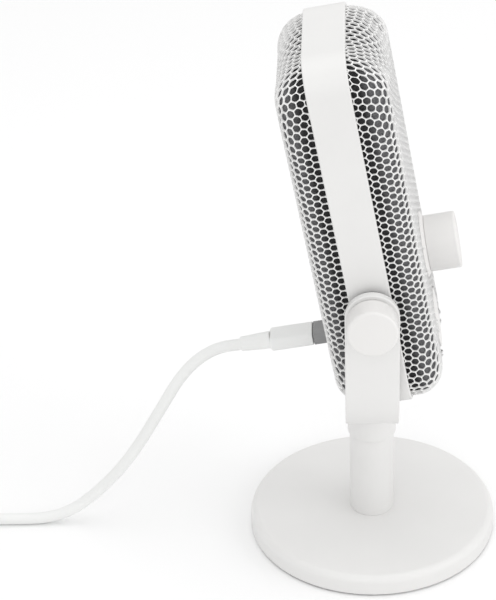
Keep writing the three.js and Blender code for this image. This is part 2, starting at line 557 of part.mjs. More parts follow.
function buildPorts() {
  const plate = PORT_PLATE
  const face = REAR_DEPTH + plate.proud
  const socketStart = MAIN_BOARD_PLACE + BOARD_THICKNESS + GAP
  const socketEnd = socketStart + SOCKET.length
  const socketRadius = SOCKET.height / 2 - 0.1
  const socket = slab(SOCKET.width, SOCKET.height, socketRadius, socketStart, socketEnd)
  const mouth = slab(SOCKET.width - 2 * SOCKET.wall, SOCKET.height - 2 * SOCKET.wall,
    socketRadius - SOCKET.wall, socketStart + 1, socketEnd + 1)
  add('usb_socket', cut(socket, mouth), STEEL, head)

  const jack = cut(rod(JACK.radius, socketStart, socketStart + JACK.length),
    rod(JACK.bore, socketStart + 1, socketStart + JACK.length + 1))
  add('headphone_jack', alongY(jack).translate([0, 0, JACK_HEIGHT]), BLACK_PLASTIC, head)

  const back = face - plate.thickness
  const plateSolid = prismY(rounded([-plate.width / 2, plate.bottom], [plate.width / 2, plate.top],
    plate.corner, 4), back, face)
  const usbHole = slab(SOCKET.width + 2 * GAP, SOCKET.height + 2 * GAP, socketRadius + GAP,
    back - 1, face + 1)
  const jackHole = alongY(rod(JACK.bore + GAP, back - 1, face + 1)).translate([0, 0, JACK_HEIGHT])
  add('port_plate', cut(plateSolid, usbHole, jackHole), WHITE_PLASTIC, head)

  const plugFace = face + GAP
  const tongue = SOCKET.wall + GAP
  add('plug_shell', slab(PLUG_SHELL.width - tongue, PLUG_SHELL.height - tongue, 0.8,
    socketStart + 2, plugFace - GAP + 0.1), STEEL, head)
  const grip = (start, end) => slab(PLUG_WIDTH, PLUG_THICKNESS, PLUG_CORNER, start, end)
  add('plug_collar', grip(plugFace + GAP, PLUG_COLLAR_END - GAP), GREY_PLASTIC, head)
  add('plug_overmould', grip(PLUG_COLLAR_END, PLUG_OVERMOULD_END - GAP), WHITE_LEAD, head)
  const relief = turned([[0, PLUG_OVERMOULD_END], [RELIEF_START_RADIUS, PLUG_OVERMOULD_END],
    [RELIEF_END_RADIUS, RELIEF_END - RELIEF_CHAMFER], [RELIEF_END_RADIUS - RELIEF_CHAMFER, RELIEF_END],
    [0, RELIEF_END]], 20)
  add('strain_relief', alongY(relief).translate([0, 0, USB_HEIGHT]), WHITE_LEAD, head)
}

// ---------------------------------------------------------------- lead
function tube(points, steps, sides = 8) {
  const path = new THREE.CatmullRomCurve3(points.map(point => new THREE.Vector3(...point)), false,
    'centripetal')
  const circle = Array.from({ length: sides }, (_, side) => {
    const angle = 2 * Math.PI * side / sides
    return new THREE.Vector2(CORD_RADIUS * Math.cos(angle), CORD_RADIUS * Math.sin(angle))
  })
  const options = { steps, extrudePath: path, bevelEnabled: false }
  return toSolid(new THREE.ExtrudeGeometry(new THREE.Shape(circle), options))
}

function plugEnd() {
  const end = new THREE.Vector3(0, RELIEF_END, USB_HEIGHT)
  return end.applyAxisAngle(new THREE.Vector3(1, 0, 0), -LEAN).setZ(end.z + PIVOT_HEIGHT)
}

function coilCentre() {
  return [COIL_PLACE[0], plugEnd().y + COIL_PLACE[1]]
}

// The lead stops clear of the circle that the plug's end follows as the head tilts.
function buildCord() {
  const start = plugEnd()
  const points = CORD_RUN.map(([across, out, up]) =>
    [across, start.y + out, CORD_RADIUS + up * (start.z - CORD_RADIUS)])
  const tipReach = Math.hypot(RELIEF_END, USB_HEIGHT - RELIEF_END_RADIUS) + GAP
  const swing = alongX(rod(tipReach, -20, 20, 96)).translate([0, 0, PIVOT_HEIGHT])
  const desk = boxed([-60, 0, -10], [60, 300, 0])
  add('usb_cord', cut(tube(points, 26), swing, desk), WHITE_LEAD)
}

// The coil is one plain ring with a notch under the tie that goes round it.
function buildCoil() {
  const half = COIL_COLUMNS * CORD_RADIUS
  const inner = COIL_MIDDLE_RADIUS - half
  const outer = COIL_MIDDLE_RADIUS + half
  const top = 2 * CORD_RADIUS * COIL_LAYERS
  const [centreX, centreY] = coilCentre()
  const place = solid => solid.translate([centreX, centreY, 0])
  const bow = TIE_WIDTH ** 2 / 8 / inner // how far the inner wall curves away across the tie
  const window = [[-outer - GAP, -GAP], [-inner + bow + GAP, top + GAP]]
  const loop = (grow, width) => boxed(
    [window[0][0] - grow, -width / 2, TIE_WALL - grow],
    [window[1][0] + grow, width / 2, window[1][1] + grow])
  add('cord_tie', place(loop(TIE_WALL, TIE_WIDTH).subtract(loop(0, TIE_WIDTH + 2))), DARK_RUBBER)
  const notch = boxed([-outer - 1, -TIE_WIDTH / 2 - GAP, -1],
    [-inner + 2, TIE_WIDTH / 2 + GAP, TIE_WALL + GAP])
  const coil = turned(cornered([inner, 0], [outer, top], Array(4).fill(COIL_EDGE), 1), 32)
  add('cord_coil', place(coil.subtract(notch)), WHITE_LEAD)
}

function buildFarPlug() {
  const [centreX, centreY] = coilCentre()
  const points = TAIL_RUN.map(([x, y, z]) => [centreX + x, centreY + y, z])
  add('cord_tail', tube(points, 4), WHITE_LEAD)
  const [endX, endY] = points.at(-1)
  const plug = FAR_PLUG
  const middle = plug.height / 2
  const bar = (width, height, radius, start, end) =>
    prismX(rounded([endY - width / 2, middle - height / 2], [endY + width / 2, middle + height / 2],
      radius, 4), start, end)
  const bodyStart = endX - GAP - plug.body
  add('far_plug_body', bar(plug.width, plug.height, plug.corner, bodyStart, endX - GAP), WHITE_LEAD)
  add('far_plug_shell', bar(plug.shellWidth, plug.shellHeight, plug.shellCorner,
    bodyStart - GAP - plug.shell, bodyStart - GAP), STEEL)
}

buildBase()
buildPole()
buildYoke()
buildBand()
buildGrilles()
buildChassis()
buildBoards()
buildCapsule()
buildDial()
buildButton()
buildPivots()
buildPorts()
buildCord()
buildCoil()
buildFarPlug()

export default group
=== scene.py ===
# Looks for the desktop microphone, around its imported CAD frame. Metres, +Z up, front towards -Y.
# Sizes below are in millimetres and repeat those of the CAD part.
import json
import math

import bpy
import bmesh
from mathutils import Matrix, Vector


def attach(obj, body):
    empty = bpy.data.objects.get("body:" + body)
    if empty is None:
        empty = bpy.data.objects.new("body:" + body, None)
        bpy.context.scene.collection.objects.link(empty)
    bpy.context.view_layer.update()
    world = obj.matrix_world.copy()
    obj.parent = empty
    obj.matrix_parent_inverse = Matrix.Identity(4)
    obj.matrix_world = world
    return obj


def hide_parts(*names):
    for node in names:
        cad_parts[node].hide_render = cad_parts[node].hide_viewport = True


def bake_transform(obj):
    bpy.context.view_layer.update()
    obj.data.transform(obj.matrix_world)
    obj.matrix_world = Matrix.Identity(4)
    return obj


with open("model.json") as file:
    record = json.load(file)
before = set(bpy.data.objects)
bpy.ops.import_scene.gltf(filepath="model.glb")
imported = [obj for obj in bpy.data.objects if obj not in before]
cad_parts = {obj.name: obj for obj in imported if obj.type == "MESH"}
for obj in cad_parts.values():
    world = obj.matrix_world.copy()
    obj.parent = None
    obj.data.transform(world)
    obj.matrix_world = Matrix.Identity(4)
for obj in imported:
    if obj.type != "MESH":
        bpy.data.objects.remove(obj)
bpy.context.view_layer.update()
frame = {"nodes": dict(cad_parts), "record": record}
MM = 0.001

# ---------------------------------------------------------------- sizes shared with the CAD part
GAP = 0.3
PIVOT_HEIGHT = 130
LEAN = math.radians(9.75)
HEAD = Matrix.Translation((0, 0, PIVOT_HEIGHT)) @ Matrix.Rotation(-LEAN, 4, "X")
STAND = Matrix.Identity(4)
HALF_WIDTH, TOP, BOTTOM, CORNER = 34, 109, -51, 14
BAND_WIDTH, BAND_WALL = 17, 2.4
GRILLE_STEP, LINER_WALL = 1.5, 1.5
SPAN, STRAP, STRAP_WIDTH, BEND, UNDERSIDE = 40, 3.3, 22, 30, 65.4
CORD_RADIUS = 2.5
DIAL_HEIGHT, BUTTON_HEIGHT = 7.3, -28.4  # heights on the head are measured from its pivot
PLUG_HEIGHT, JACK_HEIGHT = -27.2, -11
PORT_HEIGHT, PORT_HALF_WIDTH, PORT_HALF_HEIGHT = -19, 7.5, 14.5


# ---------------------------------------------------------------- camera
CAMERA_TARGET = Vector((0, 0.05128, 0.11473))
CAMERA_DISTANCE = 0.93745
CAMERA_ANGLES = (31.769, 3.213, -2.076)  # elevation, azimuth and roll, in degrees
CAMERA_LENS, CAMERA_SENSOR = 135.2, 36


def build_camera():
    elevation, azimuth, roll = (math.radians(a) for a in CAMERA_ANGLES)
    away = Vector((-math.cos(elevation) * math.cos(azimuth),
                   -math.cos(elevation) * math.sin(azimuth), math.sin(elevation)))
    ahead = -away
    level = ahead.cross(Vector((0, 0, 1))).normalized()
    upward = level.cross(ahead)
    right = math.cos(roll) * level + math.sin(roll) * upward
    up = math.cos(roll) * upward - math.sin(roll) * level
    place = Matrix((right, up, -ahead)).transposed().to_4x4()
    place.translation = CAMERA_TARGET + away * CAMERA_DISTANCE
    lens = bpy.data.cameras.new("camera")
    lens.sensor_width = CAMERA_SENSOR
    lens.lens = CAMERA_LENS
    lens.clip_start, lens.clip_end = 0.05, 20
    camera = bpy.data.objects.new("camera", lens)
    camera.matrix_world = place
    bpy.context.scene.collection.objects.link(camera)
    bpy.context.scene.camera = camera


build_camera()


# ---------------------------------------------------------------- materials
class Nodes:
    """A Principled material whose constant values sit on its sockets."""

    def __init__(self, name, color, roughness, **values):
        self.material = bpy.data.materials.new(name)
        self.material.use_nodes = True
        self.tree = self.material.node_tree
        self.shader = self.tree.nodes["Principled BSDF"]
        self.shader.inputs["Base Color"].default_value = (*color, 1)
        self.shader.inputs["Roughness"].default_value = roughness
        for key, value in values.items():
            self.shader.inputs[key.replace("_", " ").title()].default_value = value
        self.place = self.new("ShaderNodeTexCoord").outputs["Object"]

    def new(self, kind):
        return self.tree.nodes.new(kind)

    def noise(self, scale, detail=2.0, stretch=None):
        node = self.new("ShaderNodeTexNoise")
        node.inputs["Scale"].default_value = scale
        node.inputs["Detail"].default_value = detail
        source = self.place
        if stretch:
            mapping = self.new("ShaderNodeMapping")
            mapping.inputs["Scale"].default_value = stretch
            self.tree.links.new(source, mapping.inputs["Vector"])
            source = mapping.outputs["Vector"]
        self.tree.links.new(source, node.inputs["Vector"])
        return node.outputs["Fac"]

    def spread(self, factor, low, high):
        """A value that runs from low to high as the factor goes from 0.3 to 0.7."""
        node = self.new("ShaderNodeMapRange")
        for key, value in (("From Min", 0.3), ("From Max", 0.7), ("To Min", low), ("To Max", high)):
            node.inputs[key].default_value = value
        self.tree.links.new(factor, node.inputs["Value"])
        return node.outputs["Result"]

    def ramp(self, factor, low, high):
        node = self.new("ShaderNodeValToRGB")
        for element, (position, color) in zip(node.color_ramp.elements, ((0.3, low), (0.7, high))):
            element.position = position
            element.color = (*color, 1)
        self.tree.links.new(factor, node.inputs["Fac"])
        return node.outputs["Color"]

    def bump(self, height, depth, strength=1.0, after=None):
        node = self.new("ShaderNodeBump")
        node.inputs["Strength"].default_value = strength
        node.inputs["Distance"].default_value = depth
        self.tree.links.new(height, node.inputs["Height"])
        if after:
            self.tree.links.new(after, node.inputs["Normal"])
        self.tree.links.new(node.outputs["Normal"], self.shader.inputs["Normal"])
        return node.outputs["Normal"]

    def drive(self, socket, source):
        self.tree.links.new(source, self.shader.inputs[socket])


def near(color, change):
    return tuple(c * change for c in color)


MOTTLE_SCALE, GLOSS_SCALE = 38, 140  # how fine the slight changes of tone and of gloss are
FOAM_SHADED, FOAM_LIT_DEPTH = 0.012, 0.016  # depths from the head's middle where the foam's painted shade gives way to a lighter tone


def coated(name, color, roughness, grain, depth, mottle=0.012, **values):
    """Paint or moulded plastic: a fine grain, a slight mottle in its tone and gloss."""
    m = Nodes(name, color, roughness, **values)
    tone = m.noise(MOTTLE_SCALE, 3)
    m.drive("Base Color", m.ramp(tone, near(color, 1 - mottle), near(color, 1 + mottle)))
    m.drive("Roughness", m.spread(m.noise(GLOSS_SCALE, 3), roughness - 0.05, roughness + 0.05))
    broad = m.bump(m.noise(grain / 6, 2), depth * 2, 0.5)
    m.bump(m.noise(grain, 4), depth, 0.6, broad)
    return m.material


WHITE_PAINT = coated("white_paint", (0.77, 0.765, 0.755), 0.42, 2600, 0.000012)
GRILLE_PAINT = coated("white_grille", (0.88, 0.877, 0.87), 0.4, 2600, 0.000008)
WHITE_PLASTIC = coated("white_plastic", (0.78, 0.77, 0.758), 0.45, 3400, 0.00001)
WHITE_LEAD = coated("white_lead", (0.83, 0.835, 0.825), 0.5, 1800, 0.000018, 0.018)
GREY_PLASTIC = coated("grey_plastic", (0.265, 0.265, 0.267), 0.5, 2400, 0.000014, 0.05)
DARK_RUBBER = coated("dark_rubber", (0.035, 0.035, 0.037), 0.75, 1500, 0.00003, 0.12)
BLACK_PLASTIC = coated("black_plastic", (0.02, 0.02, 0.022), 0.45, 1800, 0.00002, 0.15)
NYLON = coated("nylon", (0.7, 0.68, 0.62), 0.5, 2000, 0.00001)


def foam():
    """Open foam whose colour carries painted shade: nearly black deep beside the band, lighter grey where it
    presses on the front and back.
    """
    m = Nodes("dark_foam", (0.05, 0.05, 0.053), 0.95)
    cells = m.noise(2300, 5)
    depth = m.new("ShaderNodeVectorMath")
    depth.operation = "DOT_PRODUCT"
    depth.inputs[1].default_value = (0, math.cos(LEAN), -math.sin(LEAN))
    m.tree.links.new(m.place, depth.inputs[0])
    middle = m.new("ShaderNodeMath")
    middle.operation = "ADD"
    middle.inputs[1].default_value = PIVOT_HEIGHT * MM * math.sin(LEAN)
    m.tree.links.new(depth.outputs["Value"], middle.inputs[0])
    away = m.new("ShaderNodeMath")
    away.operation = "ABSOLUTE"
    m.tree.links.new(middle.outputs[0], away.inputs[0])
    share = m.new("ShaderNodeMapRange")
    share.inputs["From Min"].default_value = FOAM_SHADED
    share.inputs["From Max"].default_value = FOAM_LIT_DEPTH
    m.tree.links.new(away.outputs[0], share.inputs["Value"])
    # painted shade: the foam's colour runs from near black deep beside the band to a lighter grey near the
    # front and back faces
    tone = m.new("ShaderNodeMix")
    tone.data_type = "RGBA"
    shaded = m.ramp(cells, (0.012, 0.012, 0.013), (0.03, 0.03, 0.032))
    foam_lit_tone = m.ramp(cells, (0.09, 0.09, 0.094), (0.19, 0.19, 0.196))
    m.tree.links.new(share.outputs["Result"], tone.inputs["Factor"])
    m.tree.links.new(shaded, tone.inputs[6])  # the colour pair of a mix node
    m.tree.links.new(foam_lit_tone, tone.inputs[7])
    m.drive("Base Color", tone.outputs[2])
    m.bump(cells, 0.0003, 0.9)
    return m.material


def brushed(name, color, roughness, stretch):
    m = Nodes(name, color, roughness, metallic=1.0)
    lines = m.noise(900, 4, stretch)
    m.drive("Roughness", m.spread(lines, roughness - 0.08, roughness + 0.12))
    m.drive("Base Color", m.ramp(m.noise(60, 2), near(color, 0.95), near(color, 1.03)))
    m.bump(lines, 0.000006, 0.5)
    return m.material


def board():
    m = Nodes("board_green", (0.02, 0.08, 0.04), 0.4)
    tracks = m.noise(420, 1, (1, 0.2, 1))
    m.drive("Base Color", m.ramp(tracks, (0.012, 0.055, 0.028), (0.03, 0.12, 0.06)))
    m.bump(tracks, 0.00003, 0.5)
    return m.material


DARK_FOAM = foam()
STEEL = brushed("steel", (0.5, 0.51, 0.52), 0.3, (1, 1, 0.05))
BRASS = brushed("brass", (0.62, 0.46, 0.2), 0.3, (0.05, 1, 1))
BOARD_GREEN = board()
BY_SLOT = {"white_paint": WHITE_PAINT, "white_grille": GRILLE_PAINT, "white_plastic": WHITE_PLASTIC,
           "white_lead": WHITE_LEAD, "grey_plastic": GREY_PLASTIC, "dark_foam": DARK_FOAM,
           "dark_rubber": DARK_RUBBER, "black_plastic": BLACK_PLASTIC, "board_green": BOARD_GREEN,
           "steel": STEEL, "brass": BRASS, "nylon": NYLON}


# ---------------------------------------------------------------- mesh helpers
def piece(name, points, faces, body, slot, place=STAND, nodes=(), sharp=None):
    """A mesh piece from points in millimetres, moved by place, that rides on a body."""
    mesh = bpy.data.meshes.new(name)
    mesh.from_pydata([(place @ Vector(p)) * MM for p in points], [], faces)
    work = bmesh.new()
    work.from_mesh(mesh)
    bmesh.ops.remove_doubles(work, verts=work.verts, dist=1e-7)
    bmesh.ops.recalc_face_normals(work, faces=work.faces)
    work.to_mesh(mesh)
    work.free()
    return dressed(name, mesh, body, slot, nodes, sharp)


def dressed(name, mesh, body, slot, nodes=(), sharp=None):
    mesh.materials.clear()
    mesh.materials.append(BY_SLOT[slot])
    mesh.shade_smooth()
    if sharp is not None:
        mesh.set_sharp_from_angle(angle=math.radians(sharp))
    made = bpy.data.objects.new(name, mesh)
    bpy.context.scene.collection.objects.link(made)
    weighted = made.modifiers.new("normals", "WEIGHTED_NORMAL")
    weighted.keep_sharp = True
    weighted.weight = 60
    if body:
        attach(made, body)
    if nodes:
        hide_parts(*nodes)
    return made


def eased(points, steps=4, closed=True):
    """An outline with each corner rounded to the radius in its third place."""
    out = []
    for i, corner in enumerate(points):
        x, y, radius = (*corner, 0)[:3]
        if radius <= 0 or (not closed and i in (0, len(points) - 1)):
            out.append((x, y))
            continue
        here = Vector((x, y))
        back = Vector(points[i - 1][:2]) - here
        on = Vector(points[(i + 1) % len(points)][:2]) - here
        half = back.angle(on) / 2
        reach = min(radius / math.tan(half), back.length * 0.49, on.length * 0.49)
        radius = reach * math.tan(half)
        back.normalize()
        on.normalize()
        centre = here + (back + on).normalized() * radius / math.sin(half)
        start, end = here + back * reach - centre, here + on * reach - centre
        turn = math.atan2(start.x * end.y - start.y * end.x, start.dot(end))
        for k in range(steps + 1):
            a = turn * k / steps
            out.append((centre.x + start.x * math.cos(a) - start.y * math.sin(a),
                        centre.y + start.x * math.sin(a) + start.y * math.cos(a)))
    return out


def circle(radius, count):
    return [(radius * math.cos(2 * math.pi * k / count), radius * math.sin(2 * math.pi * k / count))
            for k in range(count)]


def lathe(profile, segments=96, steps=4, closed=True):
    """Points and faces of a turned piece about +Z from [radius, height, rounding] corners.

    A profile with no point on the axis is a closed ring; one that starts and ends there isn't closed."""
    outline = eased(profile, steps, closed)
    points, rings = [], []
    for radius, height in outline:
        if radius < 1e-6:
            rings.append([len(points)] * segments)
            points.append((0, 0, height))
        else:
            rings.append(list(range(len(points), len(points) + segments)))
            points += [(x, y, height) for x, y in circle(radius, segments)]
    faces = []
    for low, high in zip(rings, rings[1:] + rings[:closed]):
        for k in range(segments):
            n = (k + 1) % segments
            corners = list(dict.fromkeys((low[k], low[n], high[n], high[k])))
            if len(corners) > 2:
                faces.append(corners)
    return points, faces


def turned(name, profile, body, slot, place=STAND, nodes=(), segments=96, steps=4):
    closed = min(p[0] for p in profile) > 1e-6
    points, faces = lathe(profile, segments, steps, closed)
    return piece(name, points, faces, body, slot, place, nodes)


def rect_ring(half_width, half_height, corner, steps=6):
    corner = max(min(corner, half_width - 1e-3, half_height - 1e-3), 0.01)
    ring = []
    for sx, sy, start in ((1, -1, -90), (1, 1, 0), (-1, 1, 90), (-1, -1, 180)):
        for k in range(steps + 1):
            a = math.radians(start + 90 * k / steps)
            ring.append((sx * (half_width - corner) + corner * math.cos(a),
                         sy * (half_height - corner) + corner * math.sin(a)))
    return ring


def loft(rings, capped=True, looped=False):
    """Faces between rings of points that all have the same count."""
    count = len(rings[0])
    points = [p for ring in rings for p in ring]
    faces = []
    layers = len(rings) if looped else len(rings) - 1
    for i in range(layers):
        j = (i + 1) % len(rings)
        for k in range(count):
            n = (k + 1) % count
            faces.append((i * count + k, i * count + n, j * count + n, j * count + k))
    if capped and not looped:
        faces.append(tuple(range(count))[::-1])
        faces.append(tuple(range((len(rings) - 1) * count, len(rings) * count)))
    return points, faces


def bar(width, height, corner, start, end, ease_start, ease_end, swell=0.0, steps=4):
    """Rings of a rounded bar along Z with eased ends; swell makes its middle fuller."""
    rings = []
    turn = [math.pi / 2 * k / steps for k in range(steps + 1)]
    stations = [(start + ease_start * (1 - math.cos(a)), ease_start * (1 - math.sin(a))) for a in turn]
    stations += [(end - ease_end * (1 - math.cos(a)), ease_end * (1 - math.sin(a))) for a in turn[::-1]]
    for along, inset in stations:
        share = (along - start) / (end - start)
        grow = swell * math.sin(math.pi * share) - inset
        rings.append([(x, y, along) for x, y in
                      rect_ring(width / 2 + grow, height / 2 + grow, corner + grow)])
    return rings


ALONG_Y = Matrix.Rotation(-math.pi / 2, 4, "X")  # a piece made along +Z then points along +Y
ALONG_X = Matrix.Rotation(math.pi / 2, 4, "Y")


def on_head(x, z, turn=ALONG_Y):
    return HEAD @ Matrix.Translation((x, 0, z)) @ turn


# ---------------------------------------------------------------- lead
def smooth_path(points, step=1.0):
    """A centripetal Catmull-Rom curve through the points, sampled about a step apart."""
    knots = [Vector(p) for p in points]
    knots = [2 * knots[0] - knots[1]] + knots + [2 * knots[-1] - knots[-2]]
    line = []
    for a, b, c, d in zip(knots, knots[1:], knots[2:], knots[3:]):
        t1 = (b - a).length ** 0.5
        t2 = t1 + (c - b).length ** 0.5
        t3 = t2 + (d - c).length ** 0.5
        count = max(2, round((c - b).length / step))
        for k in range(count):
            t = t1 + (t2 - t1) * k / count
            a1 = a.lerp(b, t / t1)
            a2 = b.lerp(c, (t - t1) / (t2 - t1))
            a3 = c.lerp(d, (t - t2) / (t3 - t2))
            b1 = a1.lerp(a2, t / t2)
            b2 = a2.lerp(a3, (t - t1) / (t3 - t1))
            line.append(b1.lerp(b2, (t - t1) / (t2 - t1)))
    line.append(knots[-2])
    return line


def tube_mesh(line, radius, sides=16):
    """Rings round a line, carried along it without twist, with closed ends."""
    rings = []
    ahead = (line[1] - line[0]).normalized()
    side = ahead.orthogonal().normalized()
    for i, here in enumerate(line):
        ahead = (line[min(i + 1, len(line) - 1)] - line[max(i - 1, 0)]).normalized()
        side = (side - ahead * side.dot(ahead)).normalized()
        other = ahead.cross(side)
        rings.append([here + radius * (side * x + other * y) for x, y in circle(1, sides)])
    return loft(rings)


def ease(t):
    t = min(max(t, 0), 1)
    return t * t * (3 - 2 * t)


PLUG_REACH = 60.4
plug_end = HEAD @ Vector((0, PLUG_REACH, PLUG_HEIGHT))
# the stretch from the plug to the coil: across, out from the plug's end, and share of the plug's height
CORD_RUN = [
    (0, 2.6, 0.994), (0, 6.1, 0.988), (0, 11.1, 0.969), (0, 17.1, 0.927), (0, 22.6, 0.867),
    (0, 27.7, 0.79), (0, 32.8, 0.691), (0, 37.9, 0.589), (0, 43.1, 0.486), (0, 48.5, 0.388), (0, 54.4, 0.295),
    (0, 60.9, 0.208), (-0.2, 68, 0.129), (-0.6, 75.6, 0.061), (-1, 83.1, 0.021), (-1.5, 91.1, 0.003),
    (-1.9, 100.1, 0), (-2, 110.1, 0), (-2, 121.1, 0), (-2, 129.6, 0),
]
COIL = Vector((-39.5, plug_end.y + 151.1, 0))
COIL_RADII = (37.5, 32.5, 27.5, 22.5)
COIL_STEP = 60  # the degrees of a turn over which the lead steps over to the next one
COIL_RETURN = 240  # the degree of an upper turn from which it steps outwards
COIL_EXIT = 45  # the degree of the last turn at which it leaves the coil
TIE_LIFT = 0.9  # how far the tie's strip lifts the turns that it passes under
FAR_PLUG_OUT, FAR_PLUG_HEIGHT = 49.2, 3.8


def coil_points():
    """Four turns inwards on the desk, then outwards on top of them until the lead leaves."""
    points = []
    inner = len(COIL_RADII) - 1
    inward = 360 * len(COIL_RADII)
    across = 2 * CORD_RADIUS
    for degree in range(0, inward + 360 * inner + COIL_EXIT + 1, 6):
        turn, angle = divmod(degree, 360)
        height = CORD_RADIUS
        if degree < inward:
            step = ease((angle - 360 + COIL_STEP) / COIL_STEP)
            radius = COIL_RADII[turn]
            if turn < inner:
                radius -= across * step
            else:
                height += across * step
        else:
            turn -= len(COIL_RADII)
            radius = COIL_RADII[inner - turn]
            if turn < inner:
                radius += across * ease((angle - COIL_RETURN) / COIL_STEP)
            height += across
        height += TIE_LIFT * ease(1 - (abs(angle - 180) - 16) / 26)
        a = math.radians(angle)
        points.append((COIL.x + radius * math.cos(a), COIL.y + radius * math.sin(a), height))
    return points


def cord_line():
    start = HEAD @ Vector((0, PLUG_REACH - 4, PLUG_HEIGHT))
    run = [(x, plug_end.y + out, CORD_RADIUS + up * (plug_end.z - CORD_RADIUS)) for x, out, up in CORD_RUN]
    run.append((-2, COIL.y - 11, CORD_RADIUS))
    tail = [(20, 33.5, 6.9), (13, 41.3, 5.4), (8, 45.2, 4.4), (1.5, 48.3, FAR_PLUG_HEIGHT),
            (-5, FAR_PLUG_OUT, FAR_PLUG_HEIGHT), (-9, FAR_PLUG_OUT, FAR_PLUG_HEIGHT)]
    tail = [(COIL.x + x, COIL.y + y, z) for x, y, z in tail]
    return smooth_path([tuple(start), tuple(plug_end), *run, *coil_points(), *tail], 2.0)


line = cord_line()
cord = piece("lead", *tube_mesh(line, CORD_RADIUS), None, "white_lead",
             nodes=("usb_cord", "cord_coil", "cord_tail"))


# ---------------------------------------------------------------- plugs and tie
def build_near_plug():
    grip = on_head(0, PLUG_HEIGHT)
    overmould = piece("plug_grip", *loft(bar(12, 6.2, 2.4, 29.4, 47.7, 0.5, 1.2, 0.06)), "head",
                      "white_lead", grip, ("plug_overmould",))
    collar = piece("plug_ring", *loft(bar(12, 6.2, 2.4, 22.5, 29.1, 0.35, 0.25)), "head", "grey_plastic",
                   grip, ("plug_collar",))
    relief = turned("plug_relief", [(0, 47.7), (3.75, 47.7, 0.3), (3.65, 49.0), (3.55, 51.5),
                                    (3.1, PLUG_REACH, 0.5), (0, PLUG_REACH)],
                    "head", "white_lead", grip, ("strain_relief",), 48)
    metal = piece("plug_metal", *loft(bar(8.2, 2.4, 1.1, 12.6, 22.9, 0.3, 0.05)), "head", "steel", grip,
                  ("plug_shell",))
    return [overmould, collar, relief, metal]


def build_far_plug():
    """The computer end: a moulded grip and a hollow steel shell round a plastic tongue."""
    # this frame's +Z points towards -X; its X is height and its Y is width
    place = Matrix.Translation((0, COIL.y + FAR_PLUG_OUT, FAR_PLUG_HEIGHT)) @ ALONG_X.inverted()
    begin, grip_length, shell_length = -(COIL.x - 5 - GAP), 22, 12.5
    grip = piece("far_plug_grip", *loft(bar(7.6, 15.5, 2.6, begin, begin + grip_length, 1.4, 0.5)), "stand",
                 "white_lead", place, ("far_plug_body",))
    neck = turned("far_plug_relief", [(2.7, begin - 9), (3.0, begin - 9, 0.3), (3.5, begin + 0.8, 0.2),
                                      (2.7, begin + 0.8)], "stand", "white_lead", place, (), 40)
    start = begin + grip_length + GAP
    outer = bar(4.5, 12, 0.6, start, start + shell_length, 0.02, 0.25)
    inner = bar(3.9, 11.4, 0.35, start + 0.6, start + shell_length, 0.02, 0.02)
    shell = piece("far_plug_metal", *loft(outer + inner[::-1]), "stand", "steel", place,
                  ("far_plug_shell",), 30)
    blade = bar(1.8, 11.2, 0.1, start + 0.8, start + 11.8, 0.02, 0.1)
    tongue = piece("far_plug_tongue", *loft([[(x - 0.9, y, z) for x, y, z in ring] for ring in blade]),
                   "stand", "black_plastic", place)
    return [grip, neck, shell, tongue]


def build_tie():
    """A hook-and-loop strip round the bundle, its free end lapped over the top."""
    high = 10.7 + TIE_LIFT
    centre = COIL.x - (COIL_RADII[0] + COIL_RADII[-1]) / 2
    half, wall = 11.2, 0.7
    outline = [(x, z + high / 2) for x, z in rect_ring(half, high / 2, 3.2, 6)]
    inner = [(x, z + high / 2) for x, z in rect_ring(half - wall, high / 2 - wall, 2.6, 6)]
    rings = []
    for y, inset in ((-6, 0.15), (-5.8, 0), (5.8, 0), (6, 0.15)):
        rings.append([(centre + x * (1 - inset / half), COIL.y + y, z) for x, z in outline])
    for y in (5.9, -5.9):
        rings.append([(centre + x, COIL.y + y, z) for x, z in inner])
    points, faces = loft(rings, looped=True)
    strip = piece("tie_strip", points, faces, "stand", "dark_rubber", nodes=("cord_tie",))
    lap = piece("tie_lap", *loft(bar(13, wall, 0.3, -5.8, 5.8, 0.2, 0.2)), "stand", "dark_rubber",
                Matrix.Translation((centre + 3, COIL.y, high + wall / 2)) @ ALONG_Y)
    return [strip, lap]


near_plug, far_plug, tie = build_near_plug(), build_far_plug(), build_tie()
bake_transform(cord)
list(near_plug)
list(far_plug)
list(tie)


# ---------------------------------------------------------------- stand
def build_stand():
    turned("base_disc", [(50.3, 0.7), (52.6, 0.7, 0.3), (53, 1.2, 0.4), (53, 9.6, 3.2), (8.2, 9.6),
                         (8.2, 8.6), (50.3, 8.6)],
           "stand", "white_paint", nodes=("base_plate",), segments=160, steps=10)
    turned("base_pad", [(0, 0), (50, 0, 0.6), (50, 2.4, 0.3), (46, 2.4, 0.3), (46, 2.0), (0, 2.0)],
           "stand", "dark_rubber", nodes=("foot_pad",), segments=160)
    turned("base_pole", [(7, 9.63), (9.5, 9.63, 0.1), (9.5, 48.9, 0.12), (6.3, 48.9), (6.3, 44), (7, 44)],
           "stand", "white_paint", nodes=("pole",))
    turned("collar_ring", [(6.3, 48.93), (9.7, 48.93), (9.7, 49.17), (6.3, 49.17)],
           "stand", "dark_rubber", nodes=("collar_washer",))
    turned("yoke_neck", [(6.3, 49.2), (10.3, 49.2, 0.3), (10.3, 65.35, 0.2), (2.8, 65.35), (2.8, 56),
                         (6.3, 56)],
           "stand", "white_paint", nodes=("yoke_boss",))
    turned("yoke_fixing", [(0, 59.8), (2.5, 59.8), (2.5, 66.2), (4.8, 68.3, 0.1), (4.8, 68.45, 0.1),
                           (2.0, 68.45, 0.15), (1.7, 66.9), (0, 66.9)],
           "stand", "steel", nodes=("yoke_screw",), segments=48)


def patch(outer, centre, radius):
    """Quads between a closed boundary and a round hole, matched by angle. Returns points and faces."""
    ring = []
    for x, y in outer:
        away = Vector((x - centre[0], y - centre[1])).normalized()
        ring.append((centre[0] + radius * away.x, centre[1] + radius * away.y))
    count = len(outer)
    faces = [(k, (k + 1) % count, count + (k + 1) % count, count + k) for k in range(count)]
    return outer + ring, faces


